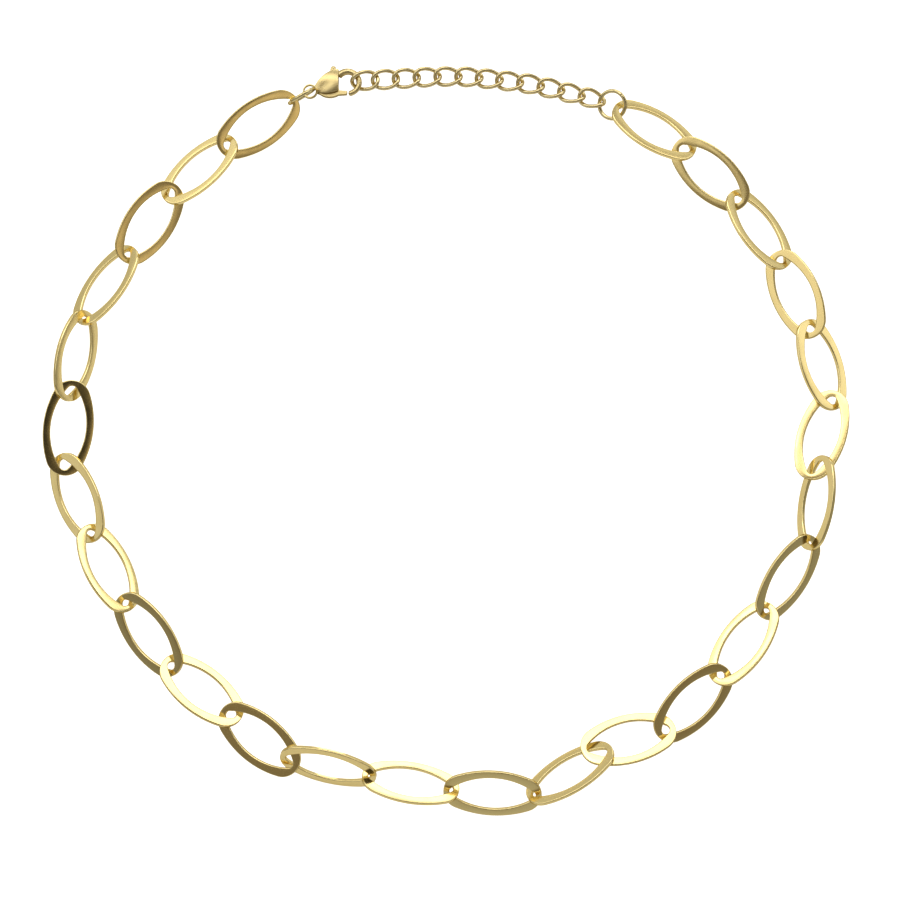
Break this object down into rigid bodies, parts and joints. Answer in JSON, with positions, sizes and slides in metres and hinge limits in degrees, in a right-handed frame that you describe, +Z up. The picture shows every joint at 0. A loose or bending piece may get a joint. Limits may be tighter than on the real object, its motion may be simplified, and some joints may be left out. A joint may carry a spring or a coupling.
{
  "type": "hoop necklace",
  "caption": "Necklace of big flat oval links that interlock, closed by a lobster clasp on a short curb-link extension, lying in a ring.",
  "frame": {"origin": "middle of the loop's box, on the surface it lies on", "axes": "+X to the right and +Y towards the clasp and extension as the loop lies, +Z up from the surface"},
  "size_m": [0.1572, 0.1488, 0.0086],
  "materials": {
    "link_band": "pale gold-coloured plating on steel, satin with fine brush lines and softened bright edges",
    "curb_wire": "pale gold-coloured plating on steel wire, smooth polish",
    "ring_wire": "pale gold-coloured plating on steel wire, smooth polish",
    "clasp_metal": "pale gold-coloured plating on cast steel, polished with a soft satin haze"
  },
  "bodies": {
    "necklace": {"link_01": "link_band", "link_02": "link_band", "link_03": "link_band", "link_04": "link_band", "link_05": "link_band", "link_06": "link_band", "link_07": "link_band", "link_08": "link_band", "link_09": "link_band", "link_10": "link_band", "link_11": "link_band", "link_12": "link_band", "link_13": "link_band", "link_14": "link_band", "link_15": "link_band", "link_16": "link_band", "link_17": "link_band", "link_18": "link_band", "link_19": "link_band", "link_20": "link_band", "link_21": "link_band", "link_22": "link_band", "link_23": "link_band", "link_24": "link_band", "link_25": "link_band", "link_26": "link_band", "curb_01": "curb_wire", "curb_02": "curb_wire", "curb_03": "curb_wire", "curb_04": "curb_wire", "curb_05": "curb_wire", "curb_06": "curb_wire", "curb_07": "curb_wire", "curb_08": "curb_wire", "curb_09": "curb_wire", "curb_10": "curb_wire", "curb_11": "curb_wire", "curb_12": "curb_wire", "clasp_ring": "ring_wire", "end_ring": "ring_wire", "clasp_body": "clasp_metal"},
    "lever": {"clasp_lever": "clasp_metal"}
  },
  "joints": [
    {"name": "lever_hinge", "type": "hinge", "parent": "necklace", "child": "lever", "pos_m": [-0.02349, 0.06948, 0.0015], "axis": [0, 0, 1], "range_deg": [0, 22], "stiffness_Nm_per_rad": 0.005, "springref_deg": -5.73}
  ]
}
